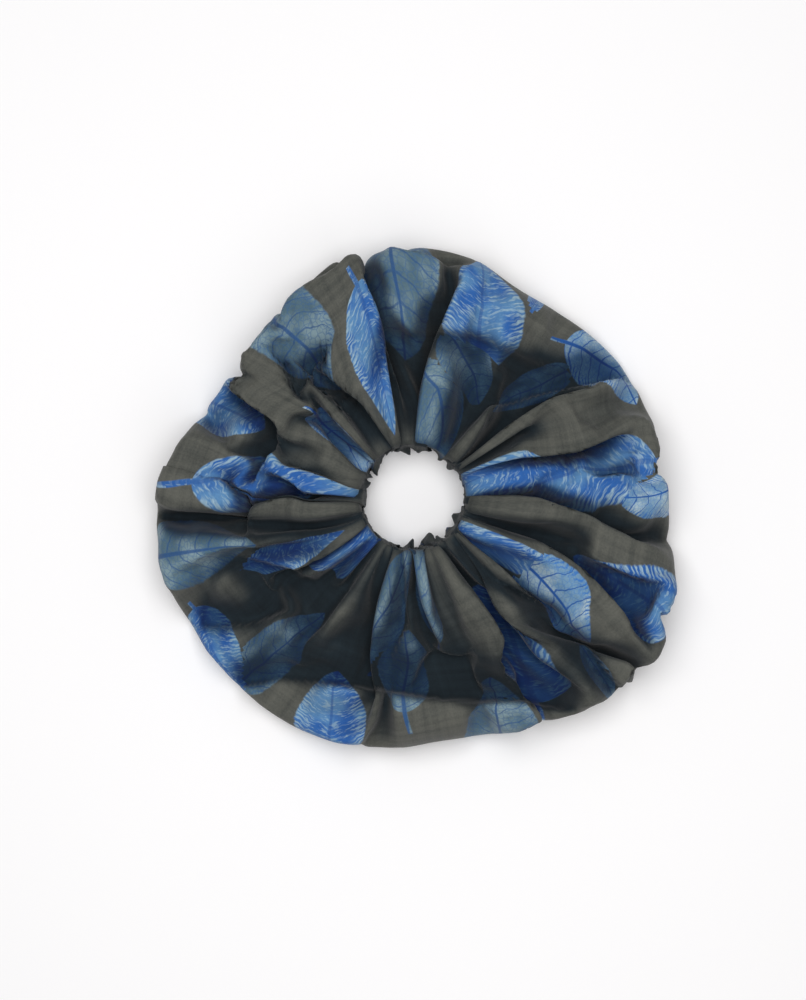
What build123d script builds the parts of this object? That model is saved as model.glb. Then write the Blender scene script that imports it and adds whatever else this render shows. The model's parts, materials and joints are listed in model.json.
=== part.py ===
"""An oversized fabric scrunchie: a gathered fabric tube over a loop of flat braided elastic.

The scrunchie lies flat. The hair hole's axis is +Z, the origin is on the surface that it lies on,
under the middle of its outline, and the closing seam is on the left, at -X. The loop stretches, so
the cover, the elastic and the long seam are each made in two halves that meet beside X = 0.
All sizes are in millimetres and all angles in degrees.
"""

import os
from math import radians

from build123d import *

# Cover: a tube of printed cotton, gathered by the elastic inside it
CREST_HEIGHT = 29.0
CREST_BULGE = 16.0
CREST_LEVEL = CREST_HEIGHT - CREST_BULGE
WALL = 1.0
HALF_GAP = 0.15

# (direction, hole radius, outer radius) of the tube's sections, round each half
LEFT_SECTIONS = [
    (90, 14.2, 75.0),
    (102, 14.8, 75.3),
    (120, 15.5, 70.5),
    (150, 14.0, 66.3),
    (180, 15.8, 76.3),
    (210, 17.0, 77.5),
    (240, 16.0, 78.0),
    (258, 14.5, 76.5),
    (270, 13.5, 74.8),
]
RIGHT_SECTIONS = [
    (-90, 13.5, 74.8),
    (-75, 13.5, 74.5),
    (-60, 13.5, 78.5),
    (-30, 14.5, 86.5),
    (0, 14.5, 76.2),
    (30, 14.2, 75.0),
    (60, 14.0, 70.5),
    (75, 14.0, 73.5),
    (90, 14.2, 75.0),
]

# Elastic: one flat braided strip, its ends lapped and sewn into a loop
ELASTIC_RADIUS = 24.0
ELASTIC_WIDTH = 6.0
ELASTIC_THICKNESS = 1.1
ELASTIC_LEVEL = 13.5
LAP_START = 164.0
LAP_END = 196.0
LAP_STEP = 1.2
LAP_EASE = 20.0
END_TURN = 0.36

# Long seam: the tube's two raw edges stand up inside it, on the underside
SEAM_RADIUS = 38.0
SEAM_HEIGHT = 8.0
SEAM_PLIES = 0.8
SEAM_LINE = 1.5
SEAM_CLEARANCE = 2.0
THREAD = 0.3
STITCH_LENGTH = 2.2
STITCH_PITCH = 2.8

# Closing seam: one end of the tube is folded in, laid over the other end and edge-stitched
HEM_START = 178.0
HEM_END = 186.0
HEM_THICKNESS = 0.8
HEM_CLEARANCE = 0.1
HEM_REACH = 100.0
EDGE_ANGLE = 179.0
EDGE_HOLE = 15.7
EDGE_RIM = 76.1
EDGE_THREAD = 0.4
EDGE_STITCHES = 60
EDGE_STITCH_LENGTH = 1.9

# Zigzag sewn over the elastic's lap
ZIGZAG_POINTS = 13
ZIGZAG_HEIGHT = 4.0
ZIGZAG_START = 168.0
ZIGZAG_END = 192.0
ZIGZAG_CLEARANCE = 0.03


def ring_plane(angle, radius, level, shift=0.0):
    """The upright plane across the ring at an angle: local x points outwards and local y up."""
    place = Vector(radius, 0, level).rotate(Axis.Z, angle) + Vector(shift, 0, 0)
    outwards = Vector(1, 0, 0).rotate(Axis.Z, angle)
    return Plane(origin=place, x_dir=outwards, z_dir=outwards.rotate(Axis.Z, -90))


def fabric_tube(sections, end_shift, inset):
    """One half of the tube as a solid, drawn in from the outside and flat along the bottom."""
    ends = (sections[0][0], sections[-1][0])
    with BuildPart() as half:
        for angle, hole, rim in sections:
            shift = end_shift if angle in ends else 0.0
            with BuildSketch(ring_plane(angle, (hole + rim) / 2, CREST_LEVEL, shift)):
                Ellipse((rim - hole) / 2 - inset, CREST_BULGE - inset)
        loft()
        split(bisect_by=Plane.XY.offset(inset), keep=Keep.TOP)
    return half.part


def elastic_arm(path, start):
    """A strip of the flat elastic, its width upright, along a path that starts at an angle."""
    with BuildPart() as arm:
        with BuildSketch(ring_plane(start, ELASTIC_RADIUS, ELASTIC_LEVEL)):
            Rectangle(ELASTIC_THICKNESS, ELASTIC_WIDTH)
        sweep(path=path)
    return arm.part


def stitch_row(radius, start, end):
    """A row of straight stitches along an arc of the ring, added to the part being built."""
    count = int(radians(end - start) * radius / STITCH_PITCH)
    margin = (end - start) / count / 2
    row = (end - start) - 2 * margin
    with PolarLocations(radius, count, start + margin, row, endpoint=True):
        Cylinder(THREAD / 2, STITCH_LENGTH, rotation=(90, 0, 0))


pieces = []

# ---- cover: a hollow shell, open only where its two halves meet ----
with BuildPart() as cover_left:
    add(fabric_tube(LEFT_SECTIONS, -HALF_GAP, 0.0))
    add(fabric_tube(LEFT_SECTIONS, 0.0, WALL), mode=Mode.SUBTRACT)
cover_left.part.label = "cover_left"

with BuildPart() as cover_right:
    add(fabric_tube(RIGHT_SECTIONS, HALF_GAP, 0.0))
    add(fabric_tube(RIGHT_SECTIONS, 0.0, WALL), mode=Mode.SUBTRACT)
cover_right.part.label = "cover_right"
pieces += [cover_left.part, cover_right.part]

# ---- elastic: on the left, the lower end steps outwards and laps over the upper end ----
elastic_plane = Plane.XY.offset(ELASTIC_LEVEL)
with BuildLine(elastic_plane) as right_path:
    CenterArc((0, 0), ELASTIC_RADIUS, -90 + END_TURN, 180 - 2 * END_TURN)
with BuildPart() as elastic_right:
    add(elastic_arm(right_path.wire(), -90 + END_TURN))
elastic_right.part.label = "elastic_right"

with BuildLine(elastic_plane) as upper_path:
    CenterArc((0, 0), ELASTIC_RADIUS, 90 + END_TURN, LAP_END - 90 - END_TURN)
with BuildLine(elastic_plane) as lower_path:
    ease_start = LAP_END + LAP_EASE
    loop = CenterArc((0, 0), ELASTIC_RADIUS, 270 - END_TURN, ease_start - 270 + END_TURN)
    lap = CenterArc((0, 0), ELASTIC_RADIUS + LAP_STEP, LAP_END + 2, LAP_START - LAP_END - 2)
    Spline([loop @ 1, lap @ 0], tangents=[loop % 1, lap % 0])
with BuildPart() as elastic_left:
    add(elastic_arm(upper_path.wire(), 90 + END_TURN))
    add(elastic_arm(lower_path.wire(), 270 - END_TURN))
elastic_left.part.label = "elastic_left"
pieces += [elastic_left.part, elastic_right.part]

# ---- long seam: it stops either side of the closing hem ----
seam_arcs = {
    "left": [(90 + END_TURN, HEM_START - SEAM_CLEARANCE), (HEM_END + SEAM_CLEARANCE, 270 - END_TURN)],
    "right": [(-90 + END_TURN, 90 - END_TURN)],
}
for side, arcs in seam_arcs.items():
    with BuildPart() as seam_allowance:
        for start, end in arcs:
            with BuildSketch(ring_plane(start, SEAM_RADIUS, WALL)):
                Rectangle(SEAM_PLIES, SEAM_HEIGHT, align=(Align.CENTER, Align.MIN))
            with BuildLine(Plane.XY.offset(WALL)) as seam_path:
                CenterArc((0, 0), SEAM_RADIUS, start, end - start)
            sweep(path=seam_path.wire())
    seam_allowance.part.label = f"seam_allowance_{side}"

    with BuildPart(Plane.XY.offset(WALL + SEAM_LINE)) as long_seam_stitches:
        for start, end in arcs:
            stitch_row(SEAM_RADIUS - SEAM_PLIES / 2, start, end)
            stitch_row(SEAM_RADIUS + SEAM_PLIES / 2, start, end)
    long_seam_stitches.part.label = f"long_seam_stitches_{side}"
    pieces += [seam_allowance.part, long_seam_stitches.part]

# ---- closing seam: the folded-in end lines the tube for a short way ----
with BuildPart() as closing_hem:
    add(fabric_tube(LEFT_SECTIONS, 0.0, WALL + HEM_CLEARANCE))
    add(fabric_tube(LEFT_SECTIONS, 1.0, WALL + HEM_CLEARANCE + HEM_THICKNESS), mode=Mode.SUBTRACT)
    with BuildSketch():
        with BuildLine():
            hem_side = Vector(HEM_REACH, 0)
            Polyline((0, 0), hem_side.rotate(Axis.Z, HEM_START), hem_side.rotate(Axis.Z, HEM_END), close=True)
        make_face()
    extrude(amount=CREST_HEIGHT, mode=Mode.INTERSECT)
closing_hem.part.label = "closing_hem"

# The edge stitches follow the tube's section, and along the bottom they sink into the cloth
with BuildSketch(ring_plane(EDGE_ANGLE, (EDGE_HOLE + EDGE_RIM) / 2, CREST_LEVEL)) as edge_section:
    Ellipse((EDGE_RIM - EDGE_HOLE) / 2, CREST_BULGE)
stitch_line = edge_section.sketch.edges()[0]
with BuildPart() as closing_seam_stitches:
    for stitch in range(EDGE_STITCHES):
        along = (stitch + 0.5) / EDGE_STITCHES
        middle = stitch_line.position_at(along)
        direction = stitch_line.tangent_at(along)
        if middle.Z < EDGE_THREAD:
            middle = Vector(middle.X, middle.Y, EDGE_THREAD)
            direction = Vector(direction.X, direction.Y, 0)
        with Locations(Plane(origin=middle, z_dir=direction)):
            Cylinder(EDGE_THREAD / 2, EDGE_STITCH_LENGTH)
closing_seam_stitches.part.label = "closing_seam_stitches"
pieces += [closing_hem.part, closing_seam_stitches.part]

# ---- zigzag: one line of thread on each face of the elastic's lap ----
inner_face = ELASTIC_RADIUS - ELASTIC_THICKNESS / 2 - THREAD / 2 - ZIGZAG_CLEARANCE
outer_face = ELASTIC_RADIUS + LAP_STEP + ELASTIC_THICKNESS / 2 + THREAD / 2 + ZIGZAG_CLEARANCE
turn = (ZIGZAG_END - ZIGZAG_START) / (ZIGZAG_POINTS - 1)
with BuildPart() as elastic_joint_stitches:
    for face in (inner_face, outer_face):
        corners = []
        for point in range(ZIGZAG_POINTS):
            rise = ZIGZAG_HEIGHT / 2 if point % 2 else -ZIGZAG_HEIGHT / 2
            corner = Vector(face, 0, ELASTIC_LEVEL + rise)
            corners.append(corner.rotate(Axis.Z, ZIGZAG_START + turn * point))
        for start, end in zip(corners, corners[1:]):
            with Locations(Plane(origin=(start + end) / 2, z_dir=end - start)):
                Cylinder(THREAD / 2, (end - start).length)
elastic_joint_stitches.part.label = "elastic_joint_stitches"
pieces.append(elastic_joint_stitches.part)

# ---- the origin goes under the middle of the whole outline ----
boxes = [piece.bounding_box() for piece in pieces]
middle_x = (min(box.min.X for box in boxes) + max(box.max.X for box in boxes)) / 2
middle_y = (min(box.min.Y for box in boxes) + max(box.max.Y for box in boxes)) / 2
print(f"hair hole's axis at ({-middle_x:.3f}, {-middle_y:.3f})")

os.makedirs("parts", exist_ok=True)
for piece in pieces:
    export_step(piece.moved(Location((-middle_x, -middle_y, 0))), f"parts/{piece.label}.step")
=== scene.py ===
"""A large fabric scrunchie lying flat: a printed cotton tube gathered on a loop of flat elastic.

A strip is cut, rolled into a tube, closed into a ring and drawn in by cloth simulation. The settled cloth
is then eased out to the outline, hole and height of the frame's cover, and its main folds are pressed in.
Lengths are in metres and angles in radians, except where a name or a comment says otherwise.
"""

import json
from math import cos, pi, radians, sin, tau

import bmesh
import bpy
import numpy as np
from mathutils import Matrix, Vector
from mathutils.bvhtree import BVHTree


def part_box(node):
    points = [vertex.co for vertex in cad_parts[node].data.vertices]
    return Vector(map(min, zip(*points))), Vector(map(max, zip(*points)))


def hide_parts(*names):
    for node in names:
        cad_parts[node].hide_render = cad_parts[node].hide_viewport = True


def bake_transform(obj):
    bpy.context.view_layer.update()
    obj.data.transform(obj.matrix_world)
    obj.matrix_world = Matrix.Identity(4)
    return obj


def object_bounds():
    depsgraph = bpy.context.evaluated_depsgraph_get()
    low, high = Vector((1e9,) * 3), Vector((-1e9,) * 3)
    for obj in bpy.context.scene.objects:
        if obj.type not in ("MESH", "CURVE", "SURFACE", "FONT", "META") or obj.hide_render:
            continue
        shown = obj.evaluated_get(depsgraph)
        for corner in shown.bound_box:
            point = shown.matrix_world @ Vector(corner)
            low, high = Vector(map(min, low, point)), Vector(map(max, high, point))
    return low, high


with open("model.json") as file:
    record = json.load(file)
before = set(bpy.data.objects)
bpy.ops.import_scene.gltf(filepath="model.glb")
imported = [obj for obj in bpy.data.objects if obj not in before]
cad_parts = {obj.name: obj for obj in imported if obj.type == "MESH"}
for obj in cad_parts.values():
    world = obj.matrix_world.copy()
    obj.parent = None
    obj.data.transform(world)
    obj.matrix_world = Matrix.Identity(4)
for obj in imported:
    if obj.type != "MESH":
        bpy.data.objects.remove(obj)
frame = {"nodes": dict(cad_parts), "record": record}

MM = 0.001
scene = bpy.context.scene
cad_low, cad_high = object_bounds()
mounts = {mount["name"]: mount for mount in frame["record"]["mounts"]}
hole_middle = Vector(mounts["hair_hole"]["pos_m"])
cover_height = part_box("cover_left")[1][2]

# The cut strip: its length runs round the ring and its width goes round the tube
STRIP_LENGTH = 0.500
STRIP_WIDTH = 0.145
COLUMNS = 210
ROWS = 55
CLOTH_THICKNESS = 0.35 * MM
# one subdivision halves the steps of the strip, along it and across it
CELL = np.array([STRIP_LENGTH / (2 * COLUMNS), STRIP_WIDTH / (2 * ROWS)])

# The tube before it is drawn in: half its depth and half its height, and its slight waves round the ring
TUBE_HALF_DEPTH = 3 * MM
TUBE_HALF_HEIGHT = 35.5 * MM
RIPPLE = 0.8 * MM
RIPPLE_WAVES = range(4, 20)

# How the cover is drawn in: places held by the elastic, and what the cloth is like
PINS = 20
PIN_RADIUS = 16.5 * MM
PIN_LEVEL = 13.5 * MM
PIN_ROW_GAP = 1.5 * MM
START_LEVEL = 40 * MM
DRAW_FRAMES = 60
REST_FRAMES = 25
SIM_SCALE = 10.0
STRETCH = 20
BENDING = 4
AIR = 2
OUTLINE_STEPS = 180

# The elastic: a flat band on edge, its ends lapped at 9 o'clock and joined by a zigzag on both faces
ELASTIC_RADIUS = 16.9 * MM
ELASTIC_LEVEL = 9.5 * MM
ELASTIC_WIDTH = 6 * MM
ELASTIC_THICKNESS = 1.1 * MM
ELASTIC_TURNS = 96
LAP_DEGREES = 25
LAP_GAP = 0.25 * MM
ZIGZAG_CORNERS = 13
ZIGZAG_DEGREES = 20
ZIGZAG_REACH = 2.2 * MM
ZIGZAG_SIDES = (-0.75, 2.1)
ZIGZAG_THREAD = 0.18 * MM

# The inner face of the tube, standing just inside the elastic: how far the tuck reaches across the strip
TUCK_RADIUS = 14.8 * MM
TUCK_REACH = 9 * MM
TUCK_FADE = 10 * MM
TUCK_PLAY = 1.2 * MM
TUCK_EASE = 4 * MM
TUCK_STAND = 0.85

# The closing seam (hem and edge stitches) and the long seam (allowance and seam stitches)
HEM_COLUMNS = 9
HEM_LIFT = 0.40 * MM
EDGE_PLACE = -1.2 * MM
EDGE_STITCH = 2.4 * MM
EDGE_STITCH_LENGTH = 1.7 * MM
EDGE_STITCHES = 60
ALLOWANCE_ROWS = 8
ALLOWANCE_LIFT = -0.45 * MM
ALLOWANCE_THICKNESS = 0.30 * MM
SEAM_ROW = int(1.62 * ROWS)
LONG_STITCH = 2.6 * MM
LONG_STITCH_LENGTH = 1.8 * MM


# ---------------------------------------------------------------- shader maths

class Value:
    """One output in a material; arithmetic on it adds Math nodes."""

    def __init__(self, finish, socket):
        self.finish = finish
        self.socket = socket

    def math(self, operation, *others):
        values = dict(enumerate((self,) + others))
        return self.finish.node("ShaderNodeMath", {"operation": operation}, values)

    def __add__(self, other):
        return self.math("ADD", other)

    def __radd__(self, other):
        return self.math("ADD", other)

    def __sub__(self, other):
        return self.math("SUBTRACT", other)

    def __mul__(self, other):
        return self.math("MULTIPLY", other)

    def __rmul__(self, other):
        return self.math("MULTIPLY", other)

    def __truediv__(self, other):
        return self.math("DIVIDE", other)

    def __pow__(self, other):
        return self.math("POWER", other)

    def __neg__(self):
        return self.math("MULTIPLY", -1.0)

    def __abs__(self):
        return self.math("ABSOLUTE")

    def __rsub__(self, other):
        return -self + other

    def wave(self):
        return self.math("SINE")

    def fraction(self):
        return self.math("FRACT")

    def highest(self, other):
        return self.math("MAXIMUM", other)

    def lowest(self, other):
        return self.math("MINIMUM", other)

    def ramp(self, low, high):
        """0 at low and 1 at high, smooth between."""
        settings = {"interpolation_type": "SMOOTHSTEP", "clamp": True}
        return self.finish.node("ShaderNodeMapRange", settings, {0: self, 1: low, 2: high})


class Finish:
    """A material under construction."""

    def __init__(self, name):
        self.material = bpy.data.materials.new(name)
        self.material.use_nodes = True
        self.tree = self.material.node_tree
        self.shader = self.tree.nodes["Principled BSDF"]

    def node(self, kind, settings=None, values=None, output=0):
        """Adds a node: its settings first, then the values or links of its sockets."""
        node = self.tree.nodes.new(kind)
        for name, setting in (settings or {}).items():
            setattr(node, name, setting)
        for place, value in (values or {}).items():
            if isinstance(value, Value):
                self.tree.links.new(value.socket, node.inputs[place])
            else:
                node.inputs[place].default_value = value
        return Value(self, node.outputs[output])

    def split(self, vector):
        parts = self.node("ShaderNodeSeparateXYZ", None, {0: vector})
        return [Value(self, output) for output in parts.socket.node.outputs]

    def join(self, x, y, z=0.0):
        return self.node("ShaderNodeCombineXYZ", None, {0: x, 1: y, 2: z})

    def noise(self, place, scale=1.0, detail=2.0, roughness=0.5):
        values = {"Vector": place, "Scale": scale, "Detail": detail, "Roughness": roughness}
        return self.node("ShaderNodeTexNoise", {"noise_dimensions": "3D"}, values)

    def mix(self, factor, first, second, blend="MIX"):
        settings = {"data_type": "RGBA", "blend_type": blend, "clamp_factor": True}
        return self.node("ShaderNodeMix", settings, {0: factor, 6: first, 7: second}, output=2)

    def bump(self, height, distance, strength):
        values = {"Height": height, "Distance": distance, "Strength": strength}
        return self.node("ShaderNodeBump", None, values)

    def set(self, **values):
        for name, value in values.items():
            socket = self.shader.inputs[name.replace("_", " ")]
            if isinstance(value, Value):
                self.tree.links.new(value.socket, socket)
            else:
                socket.default_value = value
        return self.material


def tint(red, green, blue):
    """A colour given as it looks on a screen, 0 to 255, as the shader's linear colour."""
    linear = []
    for part in (red / 255, green / 255, blue / 255):
        linear.append(((part + 0.055) / 1.055) ** 2.4 if part > 0.04 else part / 12.92)
    return (*linear, 1.0)


# ---------------------------------------------------------------- finishes

BRIGHT_LEAF, DULL_LEAF, PALE_LEAF = 0.0, 0.5, 1.0


def printed_cotton():
    """Near-black plain weave with a print of leaves, each in its own bright, dull or pale blue, and painted
    shade where the cloth is closed in.
    """
    cloth = Finish("printed_cotton")
    sheet = cloth.node("ShaderNodeUVMap", {"uv_map": "cloth"})
    along, across, _ = cloth.split(sheet)
    leaf = cloth.node("ShaderNodeUVMap", {"uv_map": "leaf"})
    stem_to_tip, side, _ = cloth.split(leaf)
    look = cloth.node("ShaderNodeUVMap", {"uv_map": "leaf_look"})
    kind, seed, _ = cloth.split(look)
    # painted shade: how closed in each place is, from a UV map written from the cloth's shape
    painted_pocket_shade, _, _ = cloth.split(cloth.node("ShaderNodeUVMap", {"uv_map": "painted_pocket_shade"}))
    lateral = abs(side)

    # weave: two crossing thread sets, uneven in thickness, with a few slubs
    thread = tau / (0.42 * MM)
    wander = cloth.noise(cloth.join(along * 900, across * 900), 1.0, 2.0) - 0.5
    warp = (along * thread + wander * 2.0).wave()
    weft = (across * thread + wander * 2.0).wave()
    weave = warp * weft
    grain = cloth.noise(cloth.join(along * 1900, across * 1900), 1.0, 3.0, 0.6)
    warp_streak = cloth.noise(cloth.join(along * 420, across * 22), 1.0, 3.0, 0.6)
    weft_streak = cloth.noise(cloth.join(along * 22, across * 420, 7.0), 1.0, 3.0, 0.6)
    patch = cloth.noise(cloth.join(along * 45, across * 45, 3.0), 1.0, 2.0)

    shade = 0.62 + grain * 0.40 + (warp_streak + weft_streak - 1.0) * 0.55 + (patch - 0.5) * 0.35
    ground = cloth.mix(shade.ramp(0.30, 1.25), tint(42, 47, 47), tint(100, 100, 93))

    # leaf outline: ovate, widest below the middle, with a pointed tip, a thin stem and a rough margin
    inside = stem_to_tip.highest(0.0).lowest(1.0)
    outline = (inside ** 0.55) * ((1.0 - inside) ** 0.80) * 1.87
    ragged = (cloth.noise(cloth.join(stem_to_tip * 34, side * 6, seed * 90), 1.0, 1.0) - 0.5) * 0.09
    blade = (outline + ragged * outline - lateral).ramp(0.0, 0.05)
    stem_bend = abs(side - stem_to_tip * 0.35)
    on_stem = stem_to_tip.ramp(-0.22, -0.20) * (0.06 - stem_to_tip).ramp(0.0, 0.02)
    stem = on_stem * (0.06 - stem_bend).ramp(0.0, 0.025)
    leaf_mask = blade.highest(stem)

    # veins run forwards from the midrib; strokes follow them out to the margin
    swirl = (cloth.noise(cloth.join(stem_to_tip * 7, side * 3, seed * 50), 1.0, 2.0) - 0.5) * 0.10
    flow = stem_to_tip - (lateral ** 1.3) * 0.24 + swirl
    edge_share = lateral / outline.highest(0.05)
    midrib = (0.045 - lateral * (0.7 + stem_to_tip)).ramp(0.0, 0.025)
    rib_phase = abs((flow * 8.0 + seed * 3.0).fraction() - 0.5)
    ribs = (0.055 - rib_phase * (0.6 + lateral)).ramp(0.0, 0.035)
    strokes_noise = cloth.noise(cloth.join(flow * 52, side * 5.5, seed * 30), 1.0, 2.0, 0.6)
    strokes = strokes_noise.ramp(0.52, 0.66)
    comb = ((flow * 150 + swirl * 60).wave() * 0.5 + 0.5).ramp(0.45, 0.8)
    comb = comb * edge_share.ramp(0.55, 0.85) * (1.0 - edge_share.ramp(0.98, 1.05))
    crackle_place = cloth.join(stem_to_tip * 30, side * 10, seed * 20)
    crackle = cloth.node("ShaderNodeTexVoronoi", {"feature": "DISTANCE_TO_EDGE"},
                         {"Vector": crackle_place, "Scale": 1.0})
    cracks = 1.0 - crackle.ramp(0.02, 0.12)
    haze = cloth.noise(cloth.join(stem_to_tip * 4, side * 2, seed * 70), 1.0, 2.0).ramp(0.38, 0.68)

    blue = cloth.mix(haze, tint(42, 94, 164), tint(88, 134, 178))
    bright = cloth.mix((strokes * 0.62 + comb * 0.65 + ribs * 0.2).lowest(0.9), blue, tint(158, 184, 196))
    bright = cloth.mix(midrib * 0.55, bright, tint(40, 84, 150))
    dull_ground = cloth.mix(haze, tint(80, 106, 120), tint(128, 150, 158))
    dull = cloth.mix((cracks * 0.45 + comb * 0.35).lowest(1.0), dull_ground, tint(58, 96, 140))
    dull = cloth.mix((ribs * 0.65).highest(midrib * 0.85), dull, tint(40, 78, 128))
    pale_ground = cloth.mix(haze, tint(110, 146, 176), tint(170, 190, 198))
    pale = cloth.mix((cracks * 0.4 + comb * 0.7).lowest(1.0), pale_ground, tint(60, 116, 184))
    pale = cloth.mix((ribs * 0.9).highest(midrib), pale, tint(36, 88, 158))
    leaf_colour = cloth.mix(kind.ramp(0.2, 0.3), bright, dull)
    leaf_colour = cloth.mix(kind.ramp(0.7, 0.8), leaf_colour, pale)
    threads = cloth.join(0.72 + grain * 0.5, 0.72 + grain * 0.5, 0.74 + grain * 0.46)
    speckle = cloth.mix(1.0, leaf_colour, threads, "MULTIPLY")

    # painted shade: where the cloth is closed in, its colours are darkened and made a little bluer
    light = 1.0 - painted_pocket_shade.ramp(0.10, 0.66) * 0.90
    painted_shade_tint = cloth.join(light, light * 0.91 + 0.09, light * 0.80 + 0.20)
    colour = cloth.mix(leaf_mask, ground, speckle)
    colour = cloth.mix(1.0, colour, painted_shade_tint, "MULTIPLY")
    relief = weave * 0.5 + (grain - 0.5) * 1.0 + (warp_streak + weft_streak - 1.0) * 0.9
    cloth.set(Base_Color=colour, Roughness=0.88, Sheen_Weight=0.10, Sheen_Roughness=0.45,
              Specular_IOR_Level=0.28, Normal=cloth.bump(relief, 0.10 * MM, 0.55))
    return cloth.material


def braided_elastic():
    """White flat braid: ribs along the band with a fine herringbone between them."""
    braid = Finish("braided_elastic")
    place = braid.node("ShaderNodeUVMap", {"uv_map": "cloth"})
    along, across, _ = braid.split(place)
    rib = (across * (tau / (0.75 * MM))).wave()
    slant = (along * (tau / (0.9 * MM)) + abs(rib) * 1.6).wave()
    fuzz = braid.noise(braid.join(along * 1500, across * 1500), 1.0, 2.0)
    colour = braid.mix(rib * 0.25 + slant * 0.2 + 0.5, tint(196, 193, 185), tint(238, 236, 230))
    braid.set(Base_Color=colour, Roughness=0.75, Sheen_Weight=0.2,
              Normal=braid.bump(rib * 0.6 + slant * 0.4 + fuzz * 0.4, 0.15 * MM, 0.6))
    return braid.material


def sewing_thread(name, dark, light):
    """Twisted polyester thread."""
    thread = Finish(name)
    place = thread.node("ShaderNodeTexCoord", output=3)
    x, y, z = thread.split(place)
    twist = ((x + y * 0.6 + z * 0.8) * (tau / (0.35 * MM))).wave()
    fuzz = thread.noise(thread.join(x * 3000, y * 3000, z * 3000), 1.0, 2.0)
    colour = thread.mix(twist * 0.35 + fuzz * 0.4 + 0.3, dark, light)
    thread.set(Base_Color=colour, Roughness=0.55, Sheen_Weight=0.15,
               Normal=thread.bump(twist + fuzz, 0.05 * MM, 0.5))
    return thread.material


def pale_floor():
    """Plain matt white, a little uneven."""
    floor = Finish("pale_floor")
    place = floor.node("ShaderNodeTexCoord", output=3)
    tone = floor.noise(place, 3.0, 2.0)
    floor.set(Base_Color=floor.mix(tone, (0.95, 0.94, 0.945, 1), (0.98, 0.97, 0.975, 1)), Roughness=0.9)
    return floor.material


# ---------------------------------------------------------------- the cover

def new_object(name, work, finish=None):
    """Closes a bmesh into an object of the scene."""
    mesh = bpy.data.meshes.new(name)
    work.to_mesh(mesh)
    work.free()
    return add_mesh(name, mesh, finish)


def add_mesh(name, mesh, finish=None):
    """Puts a mesh in the scene as a smooth-shaded object."""
    piece = bpy.data.objects.new(name, mesh)
    scene.collection.objects.link(piece)
    if finish:
        mesh.materials.clear()
        mesh.materials.append(finish)
    for face in mesh.polygons:
        face.use_smooth = True
    return piece


def smooth_step(value):
    """0 below 0, 1 above 1, and a smooth S between."""
    value = np.clip(value, 0.0, 1.0)
    return value * value * (3.0 - 2.0 * value)


def cut_strip():
    """The flat strip of cloth, with its own flat coordinates kept in a UV map."""
    strip = bmesh.new()
    bmesh.ops.create_grid(strip, x_segments=COLUMNS, y_segments=ROWS, size=0.5)
    bmesh.ops.translate(strip, vec=(0.5, 0.5, 0.0), verts=strip.verts)
    bmesh.ops.scale(strip, vec=(STRIP_LENGTH, STRIP_WIDTH, 1.0), verts=strip.verts)
    flat = strip.loops.layers.uv.new("cloth")
    for face in strip.faces:
        for loop in face.loops:
            loop[flat].uv = loop.vert.co.xy
    return strip


def roll_and_close(strip, chance):
    """Rolls the strip into a flattened tube standing in a ring, and joins both of its seams."""
    ring_radius = STRIP_LENGTH / tau
    turn = np.linspace(0, tau, 2001)
    depth, height = -TUBE_HALF_DEPTH * np.cos(turn), TUBE_HALF_HEIGHT * np.sin(turn)
    girth = np.concatenate([[0], np.cumsum(np.hypot(np.diff(depth), np.diff(height)))])
    to_size = STRIP_WIDTH / girth[-1]
    places = np.linspace(0, tau, COLUMNS + 1)
    ripple = np.zeros(COLUMNS + 1)
    for wave in RIPPLE_WAVES:
        ripple += chance.standard_normal() * np.cos(wave * places + chance.uniform(0, tau))
    for vert in strip.verts:
        along, round_tube = vert.co.x / STRIP_LENGTH, vert.co.y / to_size
        angle = (0.5 + along) % 1.0 * tau
        swell = RIPPLE * np.interp(angle, places, ripple)
        radius = ring_radius + to_size * np.interp(round_tube, girth, depth) + swell
        level = START_LEVEL + to_size * np.interp(round_tube, girth, height)
        vert.co = (radius * cos(angle), radius * sin(angle), level)
    bmesh.ops.remove_doubles(strip, verts=strip.verts, dist=0.05 * MM)
    bmesh.ops.recalc_face_normals(strip, faces=strip.faces)
    bmesh.ops.scale(strip, vec=(SIM_SCALE,) * 3, verts=strip.verts)


def add_table():
    """The flat thing that the cloth comes to rest on."""
    plate = bmesh.new()
    bmesh.ops.create_grid(plate, x_segments=1, y_segments=1, size=4.0)
    table = new_object("table", plate)
    table.modifiers.new("stop", "COLLISION")
    table.collision.thickness_outer = 0.003
    table.collision.cloth_friction = 5
    return table


def hold_to_elastic(tube, chance):
    """Pins uneven steps of the inner face, and moves them inwards as the elastic draws up."""
    mesh = tube.data
    flat = mesh.uv_layers["cloth"].data
    place = {loop.vertex_index: tuple(flat[loop.index].uv) for loop in mesh.loops}
    steps = np.cumsum(chance.uniform(0.6, 1.4, PINS))
    held_columns = set((steps / steps[-1] * COLUMNS).astype(int) % COLUMNS)
    tube.shape_key_add(name="cut")
    drawn = tube.shape_key_add(name="drawn")
    group = tube.vertex_groups.new(name="held")
    for index, (along, round_tube) in place.items():
        column = (round(along / STRIP_LENGTH * COLUMNS) + COLUMNS // 2) % COLUMNS
        row = round(round_tube / STRIP_WIDTH * ROWS) % ROWS
        row = row - ROWS if row > ROWS / 2 else row
        if column in held_columns and abs(row) <= 1:
            angle = tau * column / COLUMNS
            level = PIN_LEVEL + row * PIN_ROW_GAP
            spot = Vector((PIN_RADIUS * cos(angle), PIN_RADIUS * sin(angle), level))
            drawn.data[index].co = spot * SIM_SCALE
            group.add([index], 1.0, "REPLACE")
    for frame_number, value in ((1, 0.0), (DRAW_FRAMES, 1.0)):
        drawn.value = value
        drawn.keyframe_insert("value", frame=frame_number)
    for key in mesh.shape_keys.animation_data.action.fcurves[0].keyframe_points:
        key.interpolation = "LINEAR"


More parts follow.
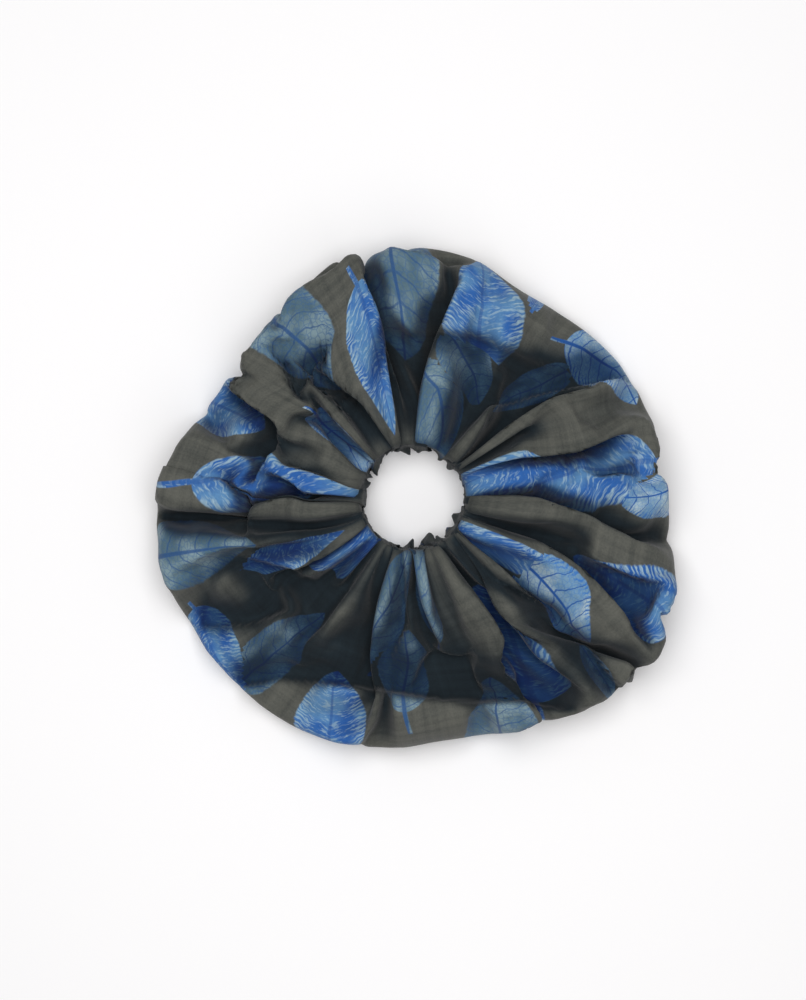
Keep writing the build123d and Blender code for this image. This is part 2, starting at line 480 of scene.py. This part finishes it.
def drawn_in_cover(chance):
    """Simulates the elastic drawing the tube in, and returns the settled cloth, subdivided once."""
    strip = cut_strip()
    roll_and_close(strip, chance)
    tube = new_object("drawn_in", strip)
    hold_to_elastic(tube, chance)
    table = add_table()
    cloth = tube.modifiers.new("cloth", "CLOTH")
    fabric = cloth.settings
    fabric.quality = 5
    fabric.mass = 0.3
    fabric.tension_stiffness = fabric.compression_stiffness = STRETCH
    fabric.shear_stiffness = STRETCH / 3
    fabric.bending_stiffness = BENDING
    fabric.bending_damping = 0.5
    fabric.air_damping = AIR
    fabric.vertex_group_mass = "held"
    contact = cloth.collision_settings
    contact.collision_quality = 2
    contact.use_self_collision = True
    contact.self_distance_min = 0.007
    contact.distance_min = 0.005
    contact.self_friction = 5
    last_frame = DRAW_FRAMES + REST_FRAMES
    cloth.point_cache.frame_start = 1
    cloth.point_cache.frame_end = last_frame + 1
    for frame_number in range(1, last_frame + 1):
        scene.frame_set(frame_number)
    finer = tube.modifiers.new("finer", "SUBSURF")
    finer.levels = finer.render_levels = 1
    finer.uv_smooth = "NONE"
    graph = bpy.context.evaluated_depsgraph_get()
    settled = bpy.data.meshes.new_from_object(tube.evaluated_get(graph), depsgraph=graph)
    bpy.data.objects.remove(table)
    bpy.data.objects.remove(tube)
    scene.frame_set(1)
    return settled


def read_faces(mesh):
    """The quads' vertices, and the flat place of each corner, as arrays."""
    corners = np.empty(len(mesh.loops), int)
    mesh.loops.foreach_get("vertex_index", corners)
    flat = np.empty(len(mesh.loops) * 2)
    mesh.uv_layers["cloth"].data.foreach_get("uv", flat)
    return corners.reshape(-1, 4), flat.reshape(-1, 4, 2)


def coordinates(mesh):
    """Where the vertices are, one row each."""
    points = np.empty(len(mesh.vertices) * 3)
    mesh.vertices.foreach_get("co", points)
    return points.reshape(-1, 3)


def radius_by_angle(points, farthest):
    """The outline (or the hole) of some points about the hole's middle, smoothed over a few degrees."""
    offset = points[:, :2] - np.array(hole_middle)[:2]
    angle = np.arctan2(offset[:, 1], offset[:, 0])
    radius = np.hypot(offset[:, 0], offset[:, 1])
    bins = ((angle + pi) / tau * OUTLINE_STEPS).astype(int) % OUTLINE_STEPS
    outline = np.zeros(OUTLINE_STEPS)
    for step in range(OUTLINE_STEPS):
        here = radius[bins == step]
        outline[step] = here.max() if farthest else np.percentile(here, 1)
    weights = np.array([1, 2, 3, 2, 1]) / 9
    padded = np.concatenate([outline[-2:], outline, outline[:2]])
    return np.convolve(padded, weights, "valid"), angle, radius


def fill_frame(mesh):
    """Eases the settled cloth out to the outline, hole and height of the frame's cover."""
    points = coordinates(mesh) / SIM_SCALE
    points[:, :2] += np.array(hole_middle)[:2]
    shells = [frame["nodes"][name].data for name in ("cover_left", "cover_right")]
    cad_points = np.concatenate([coordinates(shell) for shell in shells])
    outer_goal, _, _ = radius_by_angle(cad_points, True)
    hole_goal, _, _ = radius_by_angle(cad_points, False)
    outer, angle, radius = radius_by_angle(points, True)
    hole, _, _ = radius_by_angle(points, False)
    steps = (np.arange(OUTLINE_STEPS) + 0.5) / OUTLINE_STEPS * tau - pi

    def around(values):
        return np.interp(angle, steps, values, period=tau)

    share = (radius - around(hole)) / (around(outer) - around(hole))
    wanted = around(hole_goal) + share * (around(outer_goal) - around(hole_goal))
    points[:, 0] = hole_middle.x + wanted * np.cos(angle)
    points[:, 1] = hole_middle.y + wanted * np.sin(angle)
    low, high = points[:, 2].min(), np.percentile(points[:, 2], 99.8)
    points[:, 2] = CLOTH_THICKNESS + (points[:, 2] - low) * (cover_height - CLOTH_THICKNESS) / (high - low)
    mesh.vertices.foreach_set("co", points.ravel())
    mesh.update()


# Folds pressed into the cover, seen from above in millimetres: the path of the fold's edge, how deep the
# cloth falls away on its left (a minus sign: on its right) and over what distance it comes back up
FOLDS = (
    (((-62, -60), (-40, -55.5), (-10, -59), (9, -62), (33, -62.5), (52, -66)), 0.78, 19),
    (((68, -64), (53, -44), (42, -32), (25, -22), (18, -14)), 0.55, 8),
    (((-80, -2.5), (-61, -3), (-45, -5.5), (-32, -6), (-15, -4)), -0.45, 11),
    (((-8, 55), (-1, 50), (9, 50.5), (19, 49), (28, 45), (36, 41), (44, 40)), -0.36, 9),
    (((9, 11), (23, 26), (41, 31), (62, 34.5), (72, 31)), 0.72, 14),
    (((56, -15.5), (29, -12.5), (22, -9), (15, -4)), -0.30, 7),
    (((-58, -16), (-37, -20), (-30, -24), (-20, -17), (-12, -14)), -0.55, 14),
    (((-66, -40), (-50, -39), (-36, -34)), 0.60, 12),
    (((-8, -14), (-2, -27), (-1, -38), (-9, -53)), -0.45, 9),
    (((-6, 16), (-10, 32), (-6, 54)), 0.30, 6),
)
# Broad parts that stand full: a path, how much higher they stand, and how wide they are
RISES = (
    (((18, 3), (50, 9), (76, 14)), 0.85, 9),
    (((-52, 38), (-36, 46), (-22, 32)), 0.95, 10),
    (((-66, 8), (-42, 6), (-22, 1)), 0.80, 7),
    (((56, -22), (74, -32)), 0.60, 9),
    (((24, -28), (30, -42), (38, -56)), 0.85, 8),
)
# How the broad shape is levelled: the height it is brought to, and the cells and blur that measure it
LEVEL_TOP = 23 * MM
LEVEL_CELL = 1.5 * MM
LEVEL_BLUR = 5
LEVEL_LIMITS = (0.6, 1.9)
TOP_SHARE = 0.9
# How a fold's edge is shaped: how far it leans over and how much it stands up, and how it ends and drops
LEAN = 2.2 * MM
CREST_RISE = 0.10
CREST_WIDTH = 5
FOLD_ENDS = 0.12
FOLD_LIP = 0.6
FOLD_DROP = 2.2


def distance_to_path(points, path):
    """Signed distance to a path, positive on its left, and how far along it as a share."""
    best = np.full(len(points), np.inf)
    signed = np.zeros(len(points))
    share = np.zeros(len(points))
    for index, (start, end) in enumerate(zip(path[:-1], path[1:])):
        start, end = np.array(start) * MM, np.array(end) * MM
        run = end - start
        length = np.hypot(*run)
        offset = points - start
        along = np.clip(offset @ run / length ** 2, 0, 1)
        gap = offset - along[:, None] * run
        distance = np.hypot(gap[:, 0], gap[:, 1])
        side = np.sign(run[0] * offset[:, 1] - run[1] * offset[:, 0])
        nearer = distance < best
        best[nearer] = distance[nearer]
        signed[nearer] = (distance * side)[nearer]
        share[nearer] = ((index + along) / (len(path) - 1))[nearer]
    return signed, share


def top_heights(points, blur):
    """The height of the top of the cloth round each point, smoothed over a blur given in cells."""
    cells = ((points[:, :2] - points[:, :2].min(axis=0)) / LEVEL_CELL).astype(int) + 3 * blur
    size = cells.max(axis=0) + 3 * blur + 1
    tops, known = np.zeros(size), np.zeros(size)
    np.maximum.at(tops, (cells[:, 0], cells[:, 1]), points[:, 2])
    known[cells[:, 0], cells[:, 1]] = 1.0
    reach = np.arange(-2 * blur, 2 * blur + 1)
    bell = np.exp(-(reach / blur) ** 2)
    for axis in (0, 1):
        tops = np.apply_along_axis(np.convolve, axis, tops, bell, "same")
        known = np.apply_along_axis(np.convolve, axis, known, bell, "same")
    return (tops / np.maximum(known, 1e-9))[cells[:, 0], cells[:, 1]]


def press_folds(mesh):
    """Levels the broad shape of the cloth and lets it fall away along one side of each fold.

    The factor on the heights depends only on the place, so layers keep their order; then the top leans over.
    Returns how far each point has fallen, as a share.
    """
    points = coordinates(mesh)
    keep = LEVEL_TOP / np.maximum(top_heights(points, LEVEL_BLUR), 6 * MM)
    keep = np.clip(keep, *LEVEL_LIMITS)
    lean = np.zeros((len(points), 2))
    fallen = np.zeros(len(points))
    for path, depth, width in FOLDS:
        signed, share = distance_to_path(points[:, :2], path)
        signed = signed * np.sign(depth) / MM
        ends = smooth_step(share / FOLD_ENDS) * smooth_step((1 - share) / FOLD_ENDS)
        fall = smooth_step((signed + FOLD_LIP) / FOLD_DROP) * np.exp(-(np.maximum(signed, 0) / width) ** 2)
        crest = ends * abs(depth) * np.exp(-((signed + 1) / CREST_WIDTH) ** 2)
        run = np.array(path[-1]) - np.array(path[0])
        across = np.array((-run[1], run[0])) / np.hypot(*run) * np.sign(depth)
        lean += crest[:, None] * across * LEAN
        keep *= 1 - abs(depth) * ends * fall
        keep *= 1 + CREST_RISE * crest * (signed < 0)
        fallen = np.maximum(fallen, abs(depth) * ends * fall)
    for path, rise, width in RISES:
        signed, _ = distance_to_path(points[:, :2], path)
        keep *= 1 + rise * np.exp(-(signed / (width * MM)) ** 2)
    most = TOP_SHARE * cover_height / np.maximum(top_heights(points, 1), 3 * MM)
    keep = (keep ** -8 + most ** -8) ** (-1 / 8)
    height = (points[:, 2] - CLOTH_THICKNESS) * keep
    points[:, :2] += lean * np.clip(height / LEVEL_TOP, 0, 1)[:, None] ** 2
    over = np.maximum(height - TOP_SHARE * cover_height, 0)
    room = (1 - TOP_SHARE) * cover_height - CLOTH_THICKNESS
    points[:, 2] = CLOTH_THICKNESS + height - over + room * (1 - np.exp(-over / room))
    mesh.vertices.foreach_set("co", points.ravel())
    mesh.update()
    return fallen


def tuck_inside_elastic(mesh):
    """Stands the inner face of the tube, where the elastic lies against it, up just inside the elastic."""
    points = coordinates(mesh)
    faces, flat = read_faces(mesh)
    round_tube = np.zeros(len(points))
    round_tube[faces.ravel()] = flat.reshape(-1, 2)[:, 1]
    above = np.where(round_tube > STRIP_WIDTH / 2, round_tube - STRIP_WIDTH, round_tube)
    hold = 1 - smooth_step((abs(above) - TUCK_REACH) / TUCK_FADE)
    offset = points[:, :2] - np.array(hole_middle)[:2]
    radius = np.hypot(offset[:, 0], offset[:, 1])
    past = np.maximum(radius - TUCK_RADIUS, 0)
    wanted = radius - past + TUCK_PLAY * (1 - np.exp(-past / TUCK_EASE))
    points[:, :2] += offset * (hold * (wanted / radius - 1))[:, None]
    standing = np.maximum(ELASTIC_LEVEL + TUCK_STAND * above, CLOTH_THICKNESS)
    points[:, 2] += hold * (standing - points[:, 2])
    mesh.vertices.foreach_set("co", points.ravel())
    mesh.update()


# Printed leaves seen from above: middle x and y, length and width in millimetres, the direction the tip
# points to in degrees, and the look
LEAVES = (
    (-7, 72, 40, 24, -88, DULL_LEAF), (-34, 46, 40, 26, -48, DULL_LEAF),
    (-12, 45, 33, 13, -72, BRIGHT_LEAF), (20, 56, 32, 30, 85, BRIGHT_LEAF),
    (16, 40, 24, 20, -62, DULL_LEAF), (37, 60, 12, 7, 60, BRIGHT_LEAF),
    (59, 40, 26, 18, -40, PALE_LEAF), (34, 32, 28, 10, -150, DULL_LEAF),
    (8, 22, 28, 20, -80, DULL_LEAF), (20, 6, 24, 18, -150, BRIGHT_LEAF),
    (50, 9, 42, 22, 192, BRIGHT_LEAF), (73, 1, 22, 16, 190, PALE_LEAF),
    (14, -11, 22, 10, -10, BRIGHT_LEAF), (67, -29, 34, 24, 145, BRIGHT_LEAF),
    (43, -30, 32, 15, -50, PALE_LEAF), (30, -42, 38, 22, 115, BRIGHT_LEAF),
    (56, -53, 18, 7, -60, DULL_LEAF), (25, -68, 28, 26, 90, DULL_LEAF),
    (-25, -66, 28, 26, 85, BRIGHT_LEAF), (-2, -51, 24, 20, 90, DULL_LEAF),
    (1, -26, 30, 14, 100, DULL_LEAF), (-11, -37, 33, 18, 60, DULL_LEAF),
    (-41, -46, 36, 20, 42, DULL_LEAF), (-60, -47, 30, 20, -60, BRIGHT_LEAF),
    (-65, -16, 34, 24, 10, DULL_LEAF), (-38, -17, 28, 10, 25, BRIGHT_LEAF),
    (-19, -13, 20, 14, 150, BRIGHT_LEAF), (-42, 5, 46, 20, -8, BRIGHT_LEAF),
    (-58, 27, 26, 20, -40, BRIGHT_LEAF), (-17, 14, 24, 15, -40, PALE_LEAF),
)
LEAF_SPACING = 36 * MM
LEAF_TRIES = 3000
LEAST_SPREAD = 0.62
NO_LEAF = (-3.0, 9.0)

# How closed in a place is, for the painted shade: how many ways it looks, how far, from what height, and at
# what slant at least; and how much more shade is painted beside the pressed folds
LOOKS = 28
LOOK_REACH = 40 * MM
LOOK_START = 0.5 * MM
LOOK_SLANT = 0.12
FOLD_PAINTED_SHADE = 0.52


def seen_from_above(mesh, faces):
    """True for each face that nothing covers."""
    tree = BVHTree.FromPolygons([vert.co for vert in mesh.vertices], faces.tolist())
    middles = coordinates(mesh)[faces].mean(axis=1)
    top = Vector((0, 0, 1))
    seen = np.zeros(len(faces), bool)
    for index, middle in enumerate(middles):
        start = Vector(middle)
        start.z = cad_high[2] + 10 * MM
        seen[index] = tree.ray_cast(start, -top)[2] == index
    return seen


def lay_leaf(points, flat, x, y, size):
    """Fits flat to plan round a place that shows, and returns the fit's matrix and its flat middle."""
    gap = np.hypot(points[:, 0] - x, points[:, 1] - y)
    nearest = flat[np.argmin(gap)]
    near = (gap < 0.42 * size) & (np.hypot(*(flat - nearest).T) < 0.8 * size)
    near[np.argmin(gap)] = True
    if near.sum() < 6:
        return np.eye(2), nearest
    flat_near = np.column_stack([flat[near], np.ones(near.sum())])
    fit = np.linalg.lstsq(flat_near, points[near], rcond=None)[0]
    left, spread, right = np.linalg.svd(fit[:2].T)
    turn = left @ np.diag(np.clip(spread, LEAST_SPREAD, 1.0)) @ right
    middle = nearest + np.linalg.solve(turn, np.array([x, y]) - points[np.argmin(gap)])
    return turn, middle


def print_leaves(mesh, chance):
    """Writes each corner's place within its nearest leaf into the UV maps that the print reads."""
    faces, flat = read_faces(mesh)
    seen = seen_from_above(mesh, faces)
    points = coordinates(mesh)[faces].mean(axis=1)[:, :2]
    middles = flat.mean(axis=1)
    leaves = []
    for x, y, length, width, heading, look in LEAVES:
        turn, middle = lay_leaf(points[seen], middles[seen], x * MM, y * MM, length * MM)
        leaves.append((middle, turn, length * MM, width * MM, radians(heading), look))
    taken = [middle for middle, *_ in leaves]
    shown = middles[seen][::3]
    for _ in range(LEAF_TRIES):
        middle = chance.uniform((0, 0), (STRIP_LENGTH, STRIP_WIDTH))
        look = chance.choice((BRIGHT_LEAF, DULL_LEAF, PALE_LEAF), p=(0.45, 0.4, 0.15))
        heading, length = chance.uniform(0, tau), chance.uniform(34, 44) * MM
        clear = min(np.hypot(*(middle - other)) for other in taken) > LEAF_SPACING
        if clear and np.hypot(*(shown - middle).T).min() > 0.35 * LEAF_SPACING:
            taken.append(middle)
            leaves.append((middle, np.eye(2), length, length * chance.uniform(0.5, 0.65), heading, look))
    corner = flat.reshape(-1, 2)
    best = np.full(len(middles), np.inf)
    leaf_uv = np.full((len(corner), 2), NO_LEAF)
    look_uv = np.zeros((len(corner), 2))
    for number, (middle, turn, length, width, heading, look) in enumerate(leaves):
        tip = np.array([cos(heading), sin(heading)])
        side = np.array([-sin(heading), cos(heading)])
        plan = (middles - middle) @ turn.T
        distance = np.hypot(plan @ tip / length, plan @ side / width)
        nearer = distance < best
        best[nearer] = distance[nearer]
        corners = np.repeat(nearer, 4)
        plan = (corner[corners] - middle) @ turn.T
        leaf_uv[corners] = np.column_stack([plan @ tip / length + 0.5, 2 * (plan @ side) / width])
        look_uv[corners] = (look, (number * 0.618) % 1.0)
    for name, values in (("leaf", leaf_uv), ("leaf_look", look_uv)):
        layer = mesh.uv_layers.new(name=name)
        layer.data.foreach_set("uv", values.ravel())


def paint_pocket_shade(mesh, fallen):
    """Writes how far the cloth round each place closes it in, and more beside the pressed folds.

    The cotton's colours are darkened there by this amount, as painted shade.
    """
    faces, _ = read_faces(mesh)
    points = coordinates(mesh)
    tree = BVHTree.FromPolygons(points.tolist(), faces.tolist())
    normals = np.empty(len(points) * 3)
    mesh.vertex_normals.foreach_get("vector", normals)
    normals = normals.reshape(-1, 3)
    steps = np.arange(LOOKS) + 0.5
    lift = 1 - 2 * steps / LOOKS
    turn = steps * pi * (3 - 5 ** 0.5)
    level = np.sqrt(1 - lift ** 2)
    looks = np.column_stack([level * np.cos(turn), level * np.sin(turn), lift])
    facing = normals @ looks.T
    closed = np.zeros(len(points))
    directions = [Vector(look) for look in looks]
    for index, (point, normal) in enumerate(zip(points, normals)):
        start = Vector(point + normal * LOOK_START)
        weights = facing[index]
        ahead = np.nonzero(weights > LOOK_SLANT)[0]
        blocked = 0.0
        for look in ahead:
            if tree.ray_cast(start, directions[look], LOOK_REACH)[0]:
                blocked += weights[look]
        closed[index] = blocked / weights[ahead].sum()
    for _ in range(3):
        per_face = closed[faces].mean(axis=1)
        total = np.bincount(faces.ravel(), np.repeat(per_face, 4), len(points))
        closed = total / np.bincount(faces.ravel(), minlength=len(points))
    # painted shade: more shade is painted beside the pressed folds, on faces turned upwards
    closed = np.clip(closed + FOLD_PAINTED_SHADE * fallen * np.clip(normals[:, 2] * 2, 0, 1), 0, 1)
    painted_pocket_shade = mesh.uv_layers.new(name="painted_pocket_shade")
    painted_pocket_shade.data.foreach_set("uv", np.column_stack([closed[faces.ravel()]] * 2).ravel())


class Cloth:
    """The finished surface as a grid, so that a flat place can be found on it."""

    def __init__(self, mesh):
        faces, flat = read_faces(mesh)
        points = coordinates(mesh)
        normals = np.empty(len(points) * 3)
        mesh.vertex_normals.foreach_get("vector", normals)
        cell = np.round(flat.reshape(-1, 2) / CELL).astype(int) % (2 * COLUMNS, 2 * ROWS)
        grid = np.zeros((2 * COLUMNS, 2 * ROWS), int)
        grid[cell[:, 0], cell[:, 1]] = faces.ravel()
        self.points = points[grid]
        self.normals = normals.reshape(-1, 3)[grid]

    def at(self, along, round_tube, lift):
        """The point at a flat place, lifted outwards."""
        place = np.array([along, round_tube]) / CELL
        low = np.floor(place).astype(int)
        rest = place - low
        point, normal = np.zeros(3), np.zeros(3)
        for dx, share_x in ((0, 1 - rest[0]), (1, rest[0])):
            for dy, share_y in ((0, 1 - rest[1]), (1, rest[1])):
                cell = (low[0] + dx) % (2 * COLUMNS), (low[1] + dy) % (2 * ROWS)
                point += self.points[cell] * share_x * share_y
                normal += self.normals[cell] * share_x * share_y
        return Vector(point) + Vector(normal).normalized() * lift


def layer_over(name, cover_mesh, columns, rows, lift, thickness, finish):
    """A second layer of the same cloth over part of the cover, lifted off it, with the same print."""
    work = bmesh.new()
    work.from_mesh(cover_mesh)
    flat = work.loops.layers.uv["cloth"]
    normals = {vert: vert.normal.copy() for vert in work.verts}
    away = []
    for face in work.faces:
        middle = sum((loop[flat].uv for loop in face.loops), Vector((0, 0))) / len(face.loops)
        column, row = int(middle.x / CELL[0]), int(middle.y / CELL[1])
        if column not in columns or row not in rows:
            away.append(face)
    bmesh.ops.delete(work, geom=away, context="FACES")
    for vert in work.verts:
        vert.co += normals[vert] * lift
    bmesh.ops.solidify(work, geom=work.faces[:], thickness=-thickness)
    bmesh.ops.recalc_face_normals(work, faces=work.faces)
    return new_object(name, work, finish)


def add_stitch(work, start, end, radius):
    """One short length of thread, rounded at both ends."""
    run = end - start
    turn = run.to_track_quat("Z", "Y").to_matrix().to_4x4()
    shape = Matrix.Diagonal((radius, radius, run.length / 2, 1.0))
    middle = Matrix.Translation((start + end) / 2)
    bmesh.ops.create_uvsphere(work, u_segments=8, v_segments=6, radius=1.0, matrix=middle @ turn @ shape)


def stitch_line(name, cloth, places, lift, radius, finish):
    """A row of stitches: each goes from one flat place to the next and lies on the cloth."""
    work = bmesh.new()
    for start, end in places:
        add_stitch(work, cloth.at(*start, lift), cloth.at(*end, lift), radius)
    return new_object(name, work, finish)


def to_frame(piece, *nodes, slot):
    """Bakes a piece's placement into its mesh, and hides its nodes of the frame."""
    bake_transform(piece)
    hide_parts(*nodes)


chance = np.random.default_rng(2)
cover_mesh = drawn_in_cover(chance)
fill_frame(cover_mesh)
fallen = press_folds(cover_mesh)
tuck_inside_elastic(cover_mesh)
print_leaves(cover_mesh, chance)
# painted shade: how closed in each place is, kept for darkening the cotton's colours
paint_pocket_shade(cover_mesh, fallen)
cloth = Cloth(cover_mesh)

cotton = printed_cotton()
dark_thread = sewing_thread("dark_thread", tint(24, 28, 30), tint(74, 78, 80))
white_thread = sewing_thread("white_thread", tint(196, 194, 188), tint(240, 238, 232))

# the cover: the settled surface, given the cloth's thickness inwards
cover = add_mesh("gathered_cover", cover_mesh, cotton)
walls = cover.modifiers.new("cloth_thickness", "SOLIDIFY")
walls.thickness = CLOTH_THICKNESS
walls.offset = -1
to_frame(cover, "cover_left", "cover_right", slot="printed_fabric")

# the closing seam: the cloth's folded end laps over its other end, and is stitched close to the fold
lap_columns = [*range(2 * COLUMNS - HEM_COLUMNS + 1, 2 * COLUMNS), 0]
hem = layer_over("folded_hem", cover_mesh, lap_columns, range(2 * ROWS), HEM_LIFT, CLOTH_THICKNESS, cotton)
to_frame(hem, "closing_hem", slot="printed_fabric")
starts = [number * EDGE_STITCH for number in range(EDGE_STITCHES)]
places = [((EDGE_PLACE, start), (EDGE_PLACE, start + EDGE_STITCH_LENGTH)) for start in starts]
seam = stitch_line("hem_stitches", cloth, places, 0.50 * MM, 0.16 * MM, dark_thread)
to_frame(seam, "closing_seam_stitches", slot="thread")

# the long seam: both edges of the strip pressed open inside, and stitched through
allowance_rows = range(SEAM_ROW - ALLOWANCE_ROWS // 2, SEAM_ROW + ALLOWANCE_ROWS // 2)
allowance = layer_over("pressed_allowance", cover_mesh, range(2 * COLUMNS), allowance_rows, ALLOWANCE_LIFT,
                       ALLOWANCE_THICKNESS, cotton)
to_frame(allowance, "seam_allowance_left", "seam_allowance_right", slot="printed_fabric")
seam_place = SEAM_ROW * STRIP_WIDTH / (2 * ROWS)
starts = [number * LONG_STITCH for number in range(int(STRIP_LENGTH / LONG_STITCH))]
places = [((start, seam_place), (start + LONG_STITCH_LENGTH, seam_place)) for start in starts]
long_seam = stitch_line("tube_seam_stitches", cloth, places, 0.08 * MM, 0.15 * MM, dark_thread)
to_frame(long_seam, "long_seam_stitches_left", "long_seam_stitches_right", slot="thread")


# ---------------------------------------------------------------- the elastic inside the cover

def elastic_band(name, finish):
    """Sweeps the band's cross-section round the loop, with the lap stepping outwards at one side."""
    work = bmesh.new()
    flat = work.loops.layers.uv.new("cloth")
    half = ELASTIC_WIDTH / 2
    rings = []
    for step in range(ELASTIC_TURNS + 1):
        turned = (360 + LAP_DEGREES) * step / ELASTIC_TURNS
        outwards = smooth_step((turned - 350) / 10) * (ELASTIC_THICKNESS + LAP_GAP)
        angle = radians(180 + LAP_DEGREES / 2 + turned)
        ring = []
        for side, level in ((-0.5, -half), (0.5, -half), (0.5, half), (-0.5, half)):
            radius = ELASTIC_RADIUS + outwards + side * ELASTIC_THICKNESS
            x = hole_middle.x + radius * cos(angle)
            y = hole_middle.y + radius * sin(angle)
            ring.append(work.verts.new((x, y, ELASTIC_LEVEL + level)))
        rings.append(ring)
    for step, (first, second) in enumerate(zip(rings[:-1], rings[1:])):
        for side in range(4):
            corners = (first[side], first[(side + 1) % 4], second[(side + 1) % 4], second[side])
            face = work.faces.new(corners)
            along = tau * ELASTIC_RADIUS * step / ELASTIC_TURNS
            next_along = tau * ELASTIC_RADIUS * (step + 1) / ELASTIC_TURNS
            for loop, place in zip(face.loops, ((along, 0), (along, 1), (next_along, 1), (next_along, 0))):
                loop[flat].uv = (place[0], place[1] * (ELASTIC_WIDTH if side % 2 else ELASTIC_THICKNESS))
    work.faces.new(rings[0])
    work.faces.new(rings[-1])
    bmesh.ops.recalc_face_normals(work, faces=work.faces)
    rims = [edge for edge in work.edges if abs(edge.calc_face_angle(0)) > 1]
    bmesh.ops.bevel(work, geom=rims, offset=0.25 * MM, segments=2, profile=0.5, affect="EDGES", material=-1)
    return new_object(name, work, finish)


def lap_zigzag(name, finish):
    """A zigzag of thread on both faces of the lap."""
    work = bmesh.new()
    for side in ZIGZAG_SIDES:
        radius = ELASTIC_RADIUS + side * ELASTIC_THICKNESS
        corners = []
        for number in range(ZIGZAG_CORNERS):
            angle = radians(180 - ZIGZAG_DEGREES / 2 + number * ZIGZAG_DEGREES / (ZIGZAG_CORNERS - 1))
            x = hole_middle.x + radius * cos(angle)
            y = hole_middle.y + radius * sin(angle)
            corners.append(Vector((x, y, ELASTIC_LEVEL + (ZIGZAG_REACH if number % 2 else -ZIGZAG_REACH))))
        for start, end in zip(corners[:-1], corners[1:]):
            add_stitch(work, start, end, ZIGZAG_THREAD)
    return new_object(name, work, finish)


elastic = elastic_band("elastic_loop", braided_elastic())
to_frame(elastic, "elastic_left", "elastic_right", slot="elastic")
zigzag = lap_zigzag("elastic_zigzag", white_thread)
to_frame(zigzag, "elastic_joint_stitches", slot="white_thread")


# ---------------------------------------------------------------- floor, light and camera

VIEW_MIDDLE = (-0.00345, -0.00075)
VIEW_DISTANCE = 0.8333

work = bmesh.new()
bmesh.ops.create_grid(work, x_segments=2, y_segments=2, size=1.5)
floor = new_object("floor", work, pale_floor())


def soft_light(name, place, size, power):
    """A square soft light aimed at the object's middle."""
    lamp = bpy.data.lights.new(name, "AREA")
    lamp.size = size
    lamp.energy = power
    light = bpy.data.objects.new(name, lamp)
    light.location = place
    aim = Vector((0, 0, cover_height / 2)) - Vector(place)
    light.rotation_euler = aim.to_track_quat("-Z", "Y").to_euler()
    scene.collection.objects.link(light)
    return light


lights = [soft_light("over", (-0.03, 0.08, 0.80), 0.60, 5.6),
          soft_light("side", (0.12, -0.35, 0.60), 0.45, 0.55)]

world = bpy.data.worlds.new("studio")
world.use_nodes = True
world.node_tree.nodes["Background"].inputs["Color"].default_value = (1.0, 1.0, 1.0, 1.0)
world.node_tree.nodes["Background"].inputs["Strength"].default_value = 0.24
scene.world = world

lens = bpy.data.cameras.new("camera")
lens.lens = 100
lens.sensor_width = 36
camera = bpy.data.objects.new("camera", lens)
camera.location = (*VIEW_MIDDLE, cover_height / 2 + VIEW_DISTANCE)
scene.collection.objects.link(camera)
scene.camera = camera
scene.view_settings.view_transform = "Standard"
